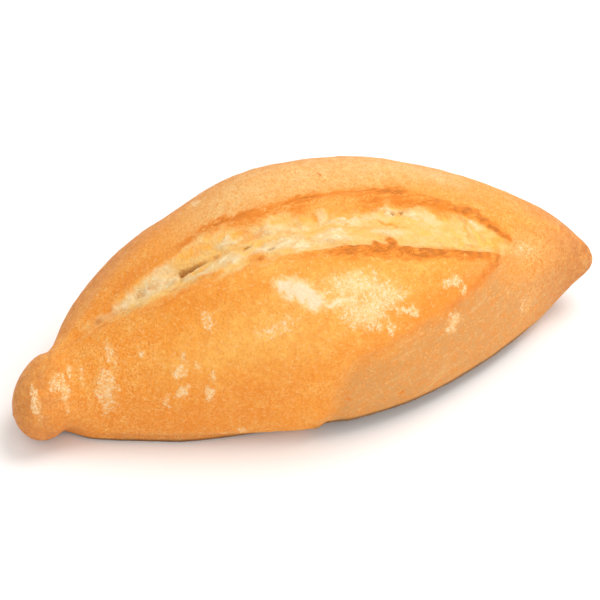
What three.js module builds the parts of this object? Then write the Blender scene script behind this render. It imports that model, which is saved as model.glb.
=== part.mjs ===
// A rustic sandwich roll: one spindle of baked dough with a pinched knob at its left tip, a drawn-out point
// at its right tip, and a single slash along the top that has torn open in the oven.
// Millimetres, +Z up, +X from the knob to the point, -Y towards the broad near flank.
// The origin is on the resting plane, under the middle of the bounding box.
//
// The skin is a sphere whose rings become stations along the roll and whose meridians become girth angles.
// A girth angle is 0 straight up from the spine, negative on the near side and positive on the far side.

import * as THREE from "three";
import { mergeVertices } from "three/addons/utils/BufferGeometryUtils.js";

// Driving dimensions of the loaf
const HALF_LENGTH = 95;
const NEAR_REACH = 39.3; // from the spine to the near flank at its widest
const FAR_REACH = 44.2;
const CREST_RISE = 37.3; // from the spine to the crest at the middle
const BELLY_DROP = 37; // from the spine to where the belly would end if the board didn't flatten it
const SPINE_BOW = 4; // how far the middle of the spine lies towards the far side
const SPINE_HEIGHT = { knob: 12, middle: 21, point: 17 };
const SQUARENESS = 2.5; // exponent of the cross-section: 2 is an ellipse, more is boxier
const BASE_ROUND = 3; // how softly the flank turns into the flat base

// Each swell rises from nothing at its start to its full size at x = 0 and falls to nothing at the point.
const NEAR_SWELL = { start: -93, rise: [1, 0.775], fall: [1.58, 1.1] };
const FAR_SWELL = { start: -81, rise: [2.87, 0.59], fall: [1.89, 0.7] };
const CREST_SWELL = { start: -95, rise: [1.54, 0.89], fall: [2.05, 0.705] };
const MIDDLE_ROUND = 10; // how softly each swell turns over at x = 0

// The knob that the baker's twist leaves at the left tip
const KNOB_RADIUS = 12.4;
const KNOB_X = -82;
const KNOB_TURN = 2.9; // how far its tip turns to the near side
const POINT_RADIUS = 4.6;
const END_TAIL = 32; // how far both rounded ends run on into the body
const END_BLEND = 4.6;

// The slash runs from its left end to its right end. Its half-width is an angle of girth where it is widest.
const SLASH_START = -78;
const SLASH_END = 61;
const SLASH_WIDEST = 12;
const SLASH_HALF_ANGLE = 0.3;
const SLASH_WIDENING = 0.022; // how much the right part opens further towards the near side
const SLASH_ROUNDNESS = { left: 2.4, right: 3 }; // how bluntly each end of the slash closes
const SLASH_BEND = { left: 0.55e-6, right: 1e-6 }; // how fast each end bends aside
const SLASH_DEPTH = 4.3;
const NEAR_LOBE = 1.2; // how far the crust swells up beside each lip
const FAR_LOBE = 2.3;
const LIP_CURL = 0.07; // how far the crisp near lip leans over the crumb, in half-widths of the slash

// The near flank right of the middle stands back from the browned crust along a soft shoulder.
const SHOULDER_STEP = 1.5;

// The near flank overhangs its base: below a rim it is tucked in, a little on the left and more on the right.
const TUCK = { left: 0.7, right: 4.2, rim: 4.2 };

// The open air pocket in the crumb
const POCKET = { x: -37, across: 0.28, length: 3.8, width: 0.2, depth: 2.4 };

const CRAG_SEED = 7;
const CRUMB_LUMP = 0.9; // height of the torn crumb's lumps
const CRUST_SWELL = 0.5; // height of the slow unevenness of the whole crust

// Dents and bulges of the whole crust
const BULGES = [
  { x: -32.5, angle: 0.85, length: 12, width: 0.6, out: -1.2 },
  { x: 15, angle: -1.95, length: 12, width: 0.35, out: -0.4 },
  { x: -79, angle: -2.3, length: 4, width: 0.45, out: -2 },
  { x: -80.5, angle: 0.1, length: 4, width: 0.9, out: 0.8 },
  { x: 82, angle: 0.4, length: 6, width: 1, out: 0.5 },
  { x: 87.5, angle: -2, length: 4, width: 0.8, out: 1.6 },
];

// Mesh: rings along the roll, and columns on each half of the base, up the near side, over the slash and
// down the far side
const RINGS = 112;
const COLUMNS = { base: 3, near: 16, slash: 20, far: 10 };
const ALL_COLUMNS = 2 * COLUMNS.base + COLUMNS.near + COLUMNS.slash + COLUMNS.far;
const RING_EVENNESS = 0.6;
const SLASH_MARGIN = 1.25; // the slash's columns reach this many half-widths from its middle

const { clamp, lerp } = THREE.MathUtils;

// Goes smoothly from 0 at `from` to 1 at `to`.
function ease(from, to, value) {
  return THREE.MathUtils.smoothstep(value, from, to);
}

// Two surfaces' outer one, with a fillet of about `blend` where they meet
function softMax(a, b, blend) {
  const share = clamp(0.5 + (0.5 * (a - b)) / blend, 0, 1);
  return b + (a - b) * share + blend * share * (1 - share);
}

function bell(value, centre, width) {
  return Math.exp(-(((value - centre) / width) ** 2));
}

// A seeded random number from 0 to 1 for each corner of a lattice
function latticeValue(i, j) {
  const mixed = Math.sin(i * 127.1 + j * 311.7 + CRAG_SEED * 74.7) * 43758.5453;
  return mixed - Math.floor(mixed);
}

// Smooth noise from -1 to 1 with about one swell for each unit
function noise(a, b) {
  const [i, j] = [Math.floor(a), Math.floor(b)];
  const [s, t] = [ease(0, 1, a - i), ease(0, 1, b - j)];
  const low = lerp(latticeValue(i, j), latticeValue(i + 1, j), s);
  const high = lerp(latticeValue(i, j + 1), latticeValue(i + 1, j + 1), s);
  return 2 * lerp(low, high, t) - 1;
}

// 0 at the swell's start and at the point, 1 at the middle of the roll
function swellAt(swell, x) {
  const end = x < 0 ? swell.start : HALF_LENGTH;
  const [power, root] = x < 0 ? swell.rise : swell.fall;
  const rounded = (distance) => Math.hypot(distance, MIDDLE_ROUND) - MIDDLE_ROUND;
  return Math.max(0, 1 - Math.min(1, rounded(x) / rounded(end)) ** power) ** root;
}

// Radius of a rounded end at a distance of `inward` from its ball's centre, where outward is negative
function endRadius(radius, inward) {
  const away = inward / (inward < 0 ? radius : END_TAIL);
  return radius * Math.sqrt(Math.max(0, 1 - away ** 2));
}

// The spine's place at station x
function spineAt(x) {
  const height =
    SPINE_HEIGHT.knob +
    (SPINE_HEIGHT.middle - SPINE_HEIGHT.knob) * ease(KNOB_X, 0, x) +
    (SPINE_HEIGHT.point - SPINE_HEIGHT.middle) * ease(0, HALF_LENGTH, x);
  const turned = KNOB_TURN * (1 - ease(-HALF_LENGTH, KNOB_X, x));
  return { y: SPINE_BOW * (1 - (x / HALF_LENGTH) ** 2) - turned, z: height };
}

// How far the cross-section at station x reaches each way from the spine, and the radius of its blunt end
function sectionAt(x) {
  const near = NEAR_REACH * swellAt(NEAR_SWELL, x) + 1e-6;
  const far = FAR_REACH * swellAt(FAR_SWELL, x) + 1e-6;
  const crest = CREST_RISE * swellAt(CREST_SWELL, x) + 1e-6;
  const belly = Math.min(BELLY_DROP, 1.22 * Math.sqrt(near * far));
  const knob = endRadius(KNOB_RADIUS, x - KNOB_X);
  const point = endRadius(POINT_RADIUS, HALF_LENGTH - POINT_RADIUS - x);
  return { near, far, crest, belly, blunt: Math.max(knob, point) };
}

// Distance from the spine to the closed loaf at station x, girth angle g, before it is slashed
function loafRadius(x, g) {
  const { near, far, crest, belly, blunt } = sectionAt(x);
  const across = Math.abs(Math.sin(g)) / (g < 0 ? near : far);
  const upright = Math.abs(Math.cos(g)) / (Math.cos(g) > 0 ? crest : belly);
  const body = (across ** SQUARENESS + upright ** SQUARENESS) ** (-1 / SQUARENESS);
  return softMax(body, blunt, END_BLEND * Math.min(1, blunt / 6) + 1e-3);
}

// The slash at station x: the girth angles of its middle and half-width, and how open it is from 0 to 1
function slashAt(x) {
  const end = x < SLASH_WIDEST ? SLASH_START : SLASH_END;
  const roundness = x < SLASH_WIDEST ? SLASH_ROUNDNESS.left : SLASH_ROUNDNESS.right;
  const towards = Math.min(1, (x - SLASH_WIDEST) / (end - SLASH_WIDEST));
  const open = (1 - towards ** roundness) ** 0.6;
  const wider = SLASH_WIDENING * ease(-5, 40, x);
  const bend = (x < 0 ? SLASH_BEND.left : SLASH_BEND.right) * x ** 3;
  const middle = -0.175 - 0.0028 * x - bend - wider;
  return { middle, half: (SLASH_HALF_ANGLE + wider) * open, open };
}

// Depth of the slash below its lips, as a share of the full depth, where v is -1 at the near lip and 1 at
// the far one: a near wall, steep to the right and soft to the left, a floor of crumb that sinks towards
// the far side, and a far wall.
function slashProfile(x, v) {
  const right = ease(-14, 8, x);
  const nearWall = ease(lerp(-1.12, -1.06, right), lerp(-0.3, -0.88, right), v);
  const floor = lerp(0.62, 1, ease(-0.4, 0.35, v));
  return nearWall * floor * (1 - ease(0.38, 1.04, v));
}

// Height of the crust beside and inside the slash above the closed loaf
function slashRelief(x, v, open) {
  if (open === 0) return 0;
  const farLobe = FAR_LOBE * lerp(1, 0.3, ease(28, 52, x));
  const lobes = NEAR_LOBE * bell(v, -1.5, 0.5) + farLobe * bell(v, 2.4, 1.15);
  const crispLip = 0.6 * bell(v, -1.1, 0.1) * ease(-6, 6, x) * (1 + 0.6 * noise(x / 2.6, 40));
  const inside = ease(-0.98, -0.75, v) * (1 - ease(0.5, 0.95, v));
  const strips = noise(x / 9 + 0.8 * v, 3.2 * v + 0.02 * x + 20) + 0.5 * noise(x / 4, 5 * v + 60);
  const lumps = CRUMB_LUMP * strips * inside * lerp(1, 0.4, ease(-16, 6, x));
  const along = (x - POCKET.x) / POCKET.length;
  const across = (v - POCKET.across) / POCKET.width;
  const pocket = POCKET.depth * Math.exp(-((along ** 2 + across ** 2) ** 2));
  const ends = ease(-84, -50, x) * (1 - 0.6 * ease(36, 58, x));
  const cut = SLASH_DEPTH * ends * open ** 0.8 * slashProfile(x, v);
  return (lobes + crispLip + lumps - pocket) * open - cut;
}

// The shoulder's girth angle at station x: from the slash's right end it runs down the near flank towards
// the left and drops to the board a little left of the middle.
function shoulderAt(x) {
  const rise = 0.22 * Math.max(0, x / 54) ** 7;
  const drop = 0.56 * Math.max(0, (3 - x) / 12) ** 2.4;
  return -1.35 + 0.0075 * x + rise - drop;
}

// Height of the crust along the shoulder: proud on the upper left of it, set back on the lower right
function shoulderRelief(x, g) {
  if (g > 0) return 0;
  const slope = NEAR_REACH * (shoulderAt(x + 0.5) - shoulderAt(x - 0.5));
  const beyond = (NEAR_REACH * (shoulderAt(x) - g)) / Math.sqrt(1 + slope ** 2);
  const fade = beyond < 0 ? bell(beyond, 0, 11) : bell(beyond, 0, 14);
  return SHOULDER_STEP * (0.35 - ease(-1.5, 2.5, beyond)) * fade * (1 - ease(50, 62, x));
}

// How far the near flank stands in at a height below its rim, by a crisp step on the left and a soft one on
// the right
function tuckAt(x, height) {
  const right = ease(-50, -12, x);
  const ends = ease(-80, -68, x) * (1 - ease(62, 90, x));
  const below = 1 - ease(TUCK.rim - lerp(1.2, 5, right), TUCK.rim + lerp(0.2, 1.5, right), height);
  return lerp(TUCK.left, TUCK.right, right) * ends * below;
}

// The skin at station x, girth angle g
function skinAt(x, g) {
  const spine = spineAt(x);
  const slash = slashAt(x);
  const v = slash.half > 0 ? (g - slash.middle) / slash.half : 9;
  const body = loafRadius(x, g);
  const fullness = Math.min(1, body / 20);
  let radius = body + slashRelief(x, v, slash.open) + shoulderRelief(x, g) * fullness;
  const upright = (Math.cos(g) * body) / 19;
  const uneven = lerp(noise(x / 21 + 3, upright + 9), noise(x / 21 + 3, upright + 5), ease(-0.3, 0.3, g));
  radius += CRUST_SWELL * fullness * uneven;
  for (const { x: middle, angle, length, width, out } of BULGES) {
    radius += out * bell(x, middle, length) * bell(g, angle, width);
  }
  const height = spine.z + radius * Math.cos(g);
  if (g < 0) radius -= tuckAt(x, height);
  const curl = LIP_CURL * ease(-8, 6, x) * (bell(v, -1.04, 0.08) - 0.8 * bell(v, -0.88, 0.08));
  const turned = g + curl * slash.half;
  return new THREE.Vector3(
    x,
    spine.y + radius * Math.sin(turned),
    softMax(spine.z + radius * Math.cos(turned), 0, BASE_ROUND),
  );
}

// Girth angle, on the side that reaches `reach` from the spine, where the flat base begins at station x
function baseEdge(x, reach) {
  const { belly, blunt } = sectionAt(x);
  const down = spineAt(x).z + BASE_ROUND;
  const share = Math.max(0, 1 - (down / Math.max(belly, blunt)) ** SQUARENESS) ** (1 / SQUARENESS);
  return Math.min(2.75, Math.atan2(Math.max(reach, blunt) * share, -down));
}

// Girth angle of column `c` at station x. Columns count from straight down, up the near side, over the
// crest and down the far side; they crowd together over the slash.
function columnAngle(x, c) {
  const { near, far } = sectionAt(x);
  const { middle, half } = slashAt(x);
  const reach = SLASH_MARGIN * softMax(half, 0.16, 0.06);
  const bands = [
    [COLUMNS.base, -baseEdge(x, near)],
    [COLUMNS.near, middle - reach],
    [COLUMNS.slash, middle + reach],
    [COLUMNS.far, baseEdge(x, far)],
    [COLUMNS.base, Math.PI],
  ];
  let [first, from] = [0, -Math.PI];
  for (const [count, to] of bands) {
    if (c <= first + count) return lerp(from, to, (c - first) / count);
    [first, from] = [first + count, to];
  }
  return from;
}

// Turns a unit sphere into the roll: its upper pole becomes the knob's tip, its lower pole the point.
function bakeRoll() {
  const sphere = new THREE.SphereGeometry(1, ALL_COLUMNS, RINGS);
  sphere.deleteAttribute("normal");
  sphere.deleteAttribute("uv");
  const geometry = mergeVertices(sphere, 1e-6);
  const places = geometry.getAttribute("position");
  const corner = new THREE.Vector3();
  for (let i = 0; i < places.count; i += 1) {
    corner.fromBufferAttribute(places, i);
    const ring = Math.acos(clamp(corner.y, -1, 1));
    const even = (2 * ring) / Math.PI - 1;
    const x = HALF_LENGTH * lerp(-Math.cos(ring), even, RING_EVENNESS);
    const turn = Math.atan2(corner.z, corner.x) / (2 * Math.PI);
    const column = Math.round(((1 - turn) % 1) * ALL_COLUMNS);
    places.setXYZ(i, ...skinAt(x, columnAngle(x, column)).toArray());
  }
  geometry.computeBoundingBox();
  const middle = geometry.boundingBox.getCenter(new THREE.Vector3());
  geometry.translate(-middle.x, -middle.y, 0);
  geometry.computeVertexNormals();
  return geometry;
}

const crust = new THREE.MeshStandardMaterial({ name: "crust", color: 0xe0a45c, roughness: 0.8 });
const roll = new THREE.Mesh(bakeRoll(), crust);
roll.name = "roll";

const part = new THREE.Group();
part.name = "rustic_sandwich_roll";
part.add(roll);

export default part;
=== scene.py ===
"""Dresses the packed sandwich roll: its crust, the torn crumb in its slash, and the flour that lies on it.

The roll is one skin. Its rings are stations along X, from the knob at the left tip to the point at the right
tip, and its columns are girth angles round a spine: 0 is straight up, negative is the near side (-Y) and
positive is the far side. Across the slash, v runs from -1 at the near lip to 1 at the far lip.
"""

import math

import bmesh
import bpy
import numpy as np
from bpy.props import FloatProperty, FloatVectorProperty, IntProperty, PointerProperty
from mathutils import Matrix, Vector


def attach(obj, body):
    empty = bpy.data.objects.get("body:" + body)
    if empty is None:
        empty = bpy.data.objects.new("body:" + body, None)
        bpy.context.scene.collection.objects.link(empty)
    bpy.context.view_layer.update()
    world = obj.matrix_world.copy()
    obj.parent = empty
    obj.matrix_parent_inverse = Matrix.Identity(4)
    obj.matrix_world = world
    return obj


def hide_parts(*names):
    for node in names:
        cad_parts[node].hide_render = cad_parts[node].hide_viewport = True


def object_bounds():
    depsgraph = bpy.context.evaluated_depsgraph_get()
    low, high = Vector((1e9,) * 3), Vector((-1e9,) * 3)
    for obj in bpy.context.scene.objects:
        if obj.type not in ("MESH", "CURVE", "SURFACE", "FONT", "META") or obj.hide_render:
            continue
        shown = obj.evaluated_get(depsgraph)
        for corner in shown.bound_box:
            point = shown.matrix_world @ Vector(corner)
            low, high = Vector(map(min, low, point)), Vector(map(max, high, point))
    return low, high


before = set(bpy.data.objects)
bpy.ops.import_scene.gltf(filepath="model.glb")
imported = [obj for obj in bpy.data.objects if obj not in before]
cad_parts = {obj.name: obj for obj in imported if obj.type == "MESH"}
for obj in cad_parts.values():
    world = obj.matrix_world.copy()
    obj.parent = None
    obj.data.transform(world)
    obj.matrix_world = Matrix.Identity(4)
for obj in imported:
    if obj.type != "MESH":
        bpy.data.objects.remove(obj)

bl_info = {
    "name": "Rustic sandwich roll",
    "version": (1, 0, 0),
    "blender": (4, 5, 0),
    "location": "3D View > Sidebar > Roll",
    "description": "Bakes a slashed sandwich roll round its packed solid",
    "category": "Add Mesh",
}

MM = 0.001
CAD_BOX = [list(corner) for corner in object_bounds()]
HALF_LENGTH = (CAD_BOX[1][0] - CAD_BOX[0][0]) / 2

# The spine's height at the knob, the middle and the point
SPINE_KNOB, SPINE_MIDDLE, SPINE_POINT = 12 * MM, 21 * MM, 17 * MM
# How softly the flank turns into the flat base, and each swell turns over at the middle
BASE_ROUND = 3 * MM
MIDDLE_ROUND = 10 * MM

# Where each swell starts on the left, and the power and root of its rise and of its fall
NEAR_SWELL = (-93 * MM, (1, 0.775), (1.58, 1.1))
FAR_SWELL = (-81 * MM, (2.87, 0.59), (1.89, 0.7))
CREST_SWELL = (-95 * MM, (1.54, 0.89), (2.05, 0.705))

# The two rounded ends, with the knob's middle and how far its tip turns to the near side
KNOB_RADIUS, KNOB_X, KNOB_TURN = 12.4 * MM, -82 * MM, 2.9 * MM
POINT_RADIUS = 4.6 * MM
# How far both run on into the body, and the fillet where they meet it
END_TAIL = 32 * MM
END_BLEND = 4.6 * MM

# The slash's two ends and widest station, and its middle's girth angle and how fast that turns along X
SLASH_START, SLASH_END, SLASH_WIDEST = -78 * MM, 61 * MM, 12 * MM
SLASH_MIDDLE, SLASH_TURN = -0.175, 2.8
# How bluntly its left and its right end close, and how fast each bends aside
SLASH_ROUNDNESS = (2.4, 3)
SLASH_BEND = (550, 1000)
# How much further its right part opens towards the near side
SLASH_WIDENING = 0.022
# How far the crisp near lip leans over the crumb, in half-widths of the slash
LIP_CURL = 0.07

# The air pocket: its middle, and the half-length, half-width and depth of the solid's round dent
POCKET_X, POCKET_V = -37 * MM, 0.28
POCKET_LENGTH, POCKET_WIDTH, POCKET_DEPTH = 3.8 * MM, 0.2, 2.4 * MM
# Its crisp outline: two corners on its steep left side and one far to the right, in mm from its middle
POCKET_LOW, POCKET_HIGH, POCKET_RIGHT = (-3.2, -4.2), (-2.2, 1.9), (6, 0.4)

# How far the near flank's base is tucked in under a rim at that height, left and right of the middle
TUCK_LEFT, TUCK_RIGHT, TUCK_RIM = 0.7 * MM, 4.2 * MM, 4.2 * MM
# How much further the base stands in on the right, where a dark gap shows under the rim
BASE_GAP = 2.2 * MM

# Dents and bulges of the whole crust: station in mm, girth angle, half-length in mm, half-width, height in mm
BULGES = (
    (-32.5, 0.85, 12, 0.6, -1.2),
    (15, -1.95, 12, 0.35, -0.4),
    (-79, -2.3, 4, 0.45, -2),
    (-80.5, 0.1, 4, 0.9, 0.8),
    (82, 0.4, 6, 1, 0.5),
    (87.5, -2, 4, 0.8, 1.6),
)

# The mesh: rings, and columns on each half of the base, up the near side, over the slash, down the far side
RINGS = 352
BASE_COLUMNS, NEAR_COLUMNS, SLASH_COLUMNS, FAR_COLUMNS = 8, 86, 112, 66
COLUMNS = 2 * BASE_COLUMNS + NEAR_COLUMNS + SLASH_COLUMNS + FAR_COLUMNS
# How evenly the rings are spaced, from 0, crowded at the tips, to 1
RING_EVENNESS = 0.6
# The slash's columns reach this many half-widths from its middle
SLASH_MARGIN = 1.25

# Lines along the slash, as girth angles at stations in mm: the crumb's two edges and the scorched far seam
STATIONS = (-72, -65, -55, -50, -42, -30, -20, -10, 0, 10, 18, 26, 35, 45, 52, 58, 64)
CRUMB_FAR = (
    0.30, 0.28, 0.26, 0.25, 0.23, 0.18, 0.10, 0.04, 0.01,
    -0.03, -0.06, -0.09, -0.14, -0.22, -0.36, -0.53, -0.62,
)
CRUMB_NEAR = (
    0.28, 0.19, -0.10, -0.15, -0.21, -0.32, -0.35, -0.42, -0.46,
    -0.47, -0.49, -0.54, -0.60, -0.64, -0.68, -0.68, -0.66,
)
FAR_SEAM = (
    0.34, 0.34, 0.34, 0.34, 0.32, 0.26, 0.21, 0.15, 0.12,
    0.12, 0.11, 0.06, -0.04, -0.14, -0.25, -0.42, -0.60,
)

# Marks on the skin: station in mm, girth angle, half-length and half-width in mm, slant and strength.
# Thick flour that was left beside the near lip
FLOUR_MARKS = (
    (-15.5, -0.65, 3.2, 3, -0.4, 1.0),
    (-12, -0.72, 5.5, 4.2, -0.42, 1.0),
    (-8.5, -0.80, 4, 3.4, -0.4, 1.0),
    (-2, -0.87, 6, 1.6, 0, 0.9),
    (-1, -0.73, 6, 4, 0, 0.5),
    (4, -0.78, 9, 4.5, 0, 0.55),
    (5, -0.96, 8, 5, -0.1, 0.5),
    (12, -0.88, 7, 4.5, 0, 0.42),
)
# Loose flour in small clusters
GRAIN_MARKS = (
    (4, -0.78, 9, 4.5, 0, 0.62),
    (5, -0.98, 7.5, 5, -0.1, 0.85),
    (12, -0.90, 7, 4.5, 0, 0.72),
    (9, -1.10, 1.6, 1.4, 0, 0.85),
    (12.5, -1.15, 1.2, 1.5, 0, 0.85),
    (17, -1.03, 3, 1, 0, 0.7),
    (20.5, -1.07, 1.5, 1.4, 0, 0.95),
    (33.5, -0.90, 2.5, 1.1, 0, 0.95),
    (36, -0.89, 2, 1.4, 0, 0.95),
    (38.5, -0.97, 1.3, 1.6, 0, 0.9),
    (34.5, -1.26, 2.4, 4, 0, 0.68),
    (-20, -0.92, 8, 3.5, 0, 0.36),
    (-38, -0.65, 1.6, 3, 0, 0.5),
    (-27, 0.62, 1.4, 3, 0.5, 0.7),
    (-88.5, -0.75, 1.1, 6, 0, 0.68),
    (-81.5, -0.55, 1.8, 3, 0, 0.68),
    (-79.8, -0.85, 1.0, 6, 0, 0.74),
    (-77, -0.42, 0.8, 3, 0, 0.6),
    (-73.7, -0.58, 0.9, 3.5, 0, 0.6),
    (-68, -1.02, 3, 6.5, 0, 0.66),
    (-69, -1.34, 1.1, 4, 0, 0.74),
    (-65, -0.48, 1.6, 4, 0, 0.58),
    (-56.3, -0.67, 0.8, 1.7, 0, 0.7),
    (-46.5, -0.90, 1.2, 1.6, 0, 0.7),
    (-48, -1.04, 1.8, 1.6, 0, 1.0),
    (-43, -1.03, 1.0, 1.8, 0, 0.62),
    (-47.7, -1.30, 1.8, 2.2, 0, 1.0),
    (-52, -1.40, 1.2, 3, 0, 0.68),
    (-41, -1.40, 1.5, 2.6, 0, 1.0),
    (-39, -1.20, 1.2, 1.8, 0, 0.78),
    (-31.5, -1.95, 0.8, 1.4, 0, 0.9),
    (56, -1.14, 0.5, 2, 0, 0.6),
    (65, -0.66, 5, 2, 0, 0.3),
    (64, -1.55, 3, 5, 0, 0.28),
)
# White fluff in the crumb
WHITE_MARKS = (
    (-64, 0.25, 3, 1.6, -0.2, 0.6),
    (-57, 0.19, 7, 2.0, -0.1, 0.85),
    (-47, 0.10, 6, 4.0, 0, 0.9),
    (-43, 0.02, 4, 1.8, -0.2, 0.8),
    (-34.5, -0.125, 5.5, 1.2, -0.25, 1.0),
    (-34, -0.21, 3.5, 1.3, -0.2, 1.0),
    (-27, -0.13, 3.5, 3.6, 0, 0.85),
    (-25, -0.22, 3, 2, -0.1, 1.0),
    (-24, 0.05, 3.5, 1.2, -0.25, 0.95),
    (-12, -0.03, 6, 1.6, -0.1, 0.9),
    (-13, -0.25, 8, 3, -0.1, 0.95),
    (-6, -0.36, 5, 2.6, 0, 1.0),
    (3, -0.34, 5, 2.2, -0.2, 1.0),
    (6, -0.26, 3.5, 1.6, -0.2, 1.0),
    (11.5, -0.17, 4, 1.3, 0, 0.9),
    (-3, -0.10, 3, 2.4, 0, 0.8),
    (4.5, -0.05, 1.2, 2.2, 0, 0.8),
    (12, -0.13, 8, 0.9, -0.02, 0.95),
    (24, -0.10, 4, 1.1, -0.3, 1.0),
    (31, -0.16, 4, 1.3, -0.25, 1.0),
    (21, -0.38, 5, 2.0, -0.2, 0.7),
    (36, -0.25, 4, 3, -0.5, 0.7),
    (49, -0.34, 2.5, 2.2, -0.5, 0.9),
)
# Strands of the crumb that the oven has toasted
TOAST_MARKS = (
    (-63, 0.17, 6, 1.6, -0.2, 0.7),
    (-54, 0.31, 6, 1.6, 0, 0.8),
    (-46, 0.27, 3, 1.4, 0, 0.6),
    (-47.5, -0.20, 4, 1.2, -0.1, 1.0),
    (-36, -0.24, 5, 1.2, 0, 0.6),
    (-34, 0.15, 4, 1.0, -0.2, 0.6),
    (-22, 0.13, 4, 1.2, -0.2, 0.7),
    (-20, -0.28, 3, 1.6, -0.1, 0.8),
    (-17, -0.02, 6, 1.2, 0, 0.55),
    (2.3, 0.01, 0.8, 3, 0, 0.9),
    (7.6, 0.0, 0.9, 2.6, 0, 0.8),
    (14.5, -0.27, 6, 1.4, -0.1, 0.4),
    (22.5, -0.24, 3.6, 0.9, -0.9, 1.0),
    (16, -0.04, 8, 1.4, 0, 0.8),
    (30, -0.06, 7, 1.4, -0.25, 0.8),
    (40, -0.20, 4, 1.6, -0.4, 0.6),
    (45.5, -0.40, 0.8, 6, 0, 0.8),
    (49.5, -0.54, 4, 3, 0, 0.6),
    (55, -0.57, 4, 3, 0, 0.7),
)
# Scorched streaks along the slash, and small dark spots on the crust
SCORCH_MARKS = (
    (-48, -0.31, 4, 1.3, 0, 0.3),
    (-42, -0.30, 3.5, 1.3, 0, 0.35),
    (-13, 0.12, 6, 1.2, 0, 0.35),
    (30, -0.01, 5, 1.2, -0.2, 0.5),
    (-26, 0.24, 6, 2.0, -0.2, 0.6),
    (-19, 0.18, 6, 1.6, -0.2, 0.5),
    (2, 0.13, 4.5, 1.4, 0, 0.8),
    (23, 0.09, 8, 0.7, 0, 0.6),
    (28, 0.05, 4.5, 1.7, -0.2, 0.95),
    (40, -0.08, 6, 0.8, -0.5, 0.7),
    (45.3, -0.16, 2.0, 1.4, -0.4, 1.0),
    (48.8, -0.21, 2.4, 1.7, -0.4, 1.0),
    (52.6, -0.29, 2.6, 2.2, -0.8, 1.0),
    (55.2, -0.40, 2.2, 1.9, -1.4, 1.0),
    (57.4, -0.51, 1.4, 1.2, -1.6, 0.85),
    (52, -0.77, 3.5, 2.0, 0.8, 0.75),
    (47, -0.87, 3.5, 1.6, 0.8, 0.6),
    (36, -1.08, 4, 2, 0, 0.3),
    (8.8, 0.34, 0.5, 0.5, 0, 0.9),
    (16, -1.78, 0.7, 0.5, 0, 0.9),
    (17.5, -1.87, 0.6, 0.5, 0, 0.6),
    (34.5, -1.83, 0.8, 0.6, 0, 0.5),
    (60, -1.85, 0.5, 1.4, 0, 0.5),
    (-1, -1.72, 0.9, 0.6, 0.3, 0.8),
    (50, -1.22, 0.5, 1, 0, 0.5),
    (71, -0.80, 0.6, 0.5, 0, 0.6),
)
# Torn crags along the near lip
CRAG_MARKS = (
    (-19, -0.34, 2.4, 1.1, -0.1, 0.6),
    (2.2, -0.52, 2.6, 1.6, -0.2, 0.6),
    (7, -0.54, 1.8, 1.1, 0, 0.8),
    (10.5, -0.56, 2.0, 1.1, 0, 0.8),
    (13.6, -0.54, 1.6, 1.0, 0, 0.8),
    (15.3, -0.485, 1.7, 2.0, 0, 0.8),
    (18.6, -0.54, 2.4, 1.0, 0, 0.8),
    (20.2, -0.48, 2.3, 2.3, 0, 0.8),
    (22.8, -0.58, 2.0, 1.4, 0, 0.8),
    (26, -0.60, 1.8, 1.2, 0, 0.7),
    (29, -0.63, 2.0, 1.0, 0, 0.8),
    (34, -0.645, 3.4, 0.9, 0, 0.7),
    (39.5, -0.66, 3.2, 0.8, 0, 0.75),
    (43.8, -0.665, 1.6, 0.9, 0, 0.9),
    (49, -0.70, 3.6, 0.5, -0.02, 0.35),
)
# Small holes in the crumb
PIT_MARKS = (
    (-64.9, 0.255, 1.4, 0.6, -0.4, 0.55),
    (-60.9, 0.246, 0.9, 0.5, -0.3, 0.7),
    (-51.9, 0.166, 0.9, 0.5, 0.3, 0.4),
    (-50.2, 0.150, 0.9, 0.5, 0, 0.35),
    (-48.4, 0.150, 0.7, 0.5, 0, 0.3),
    (-40.7, 0.085, 0.9, 0.6, 0, 0.35),
    (-28.7, 0.005, 0.7, 0.5, 0, 0.5),
    (-20.2, -0.130, 1.0, 0.45, -0.3, 0.8),
    (-14.2, -0.270, 0.9, 0.4, -0.3, 0.6),
    (6.1, -0.202, 0.6, 0.4, 0, 0.6),
    (25.6, -0.130, 0.7, 0.5, -0.3, 0.8),
    (28.0, -0.134, 0.6, 0.5, 0, 0.8),
)

# The studio: the floor's radius, and the place and width of each soft light, in metres
FLOOR_RADIUS = 4
KEY_PLACE, KEY_WIDTH = (0.55, 0.06, 1.14), 0.75
FILL_PLACE, FILL_WIDTH = (0.35, -1.05, 0.5), 1


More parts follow.
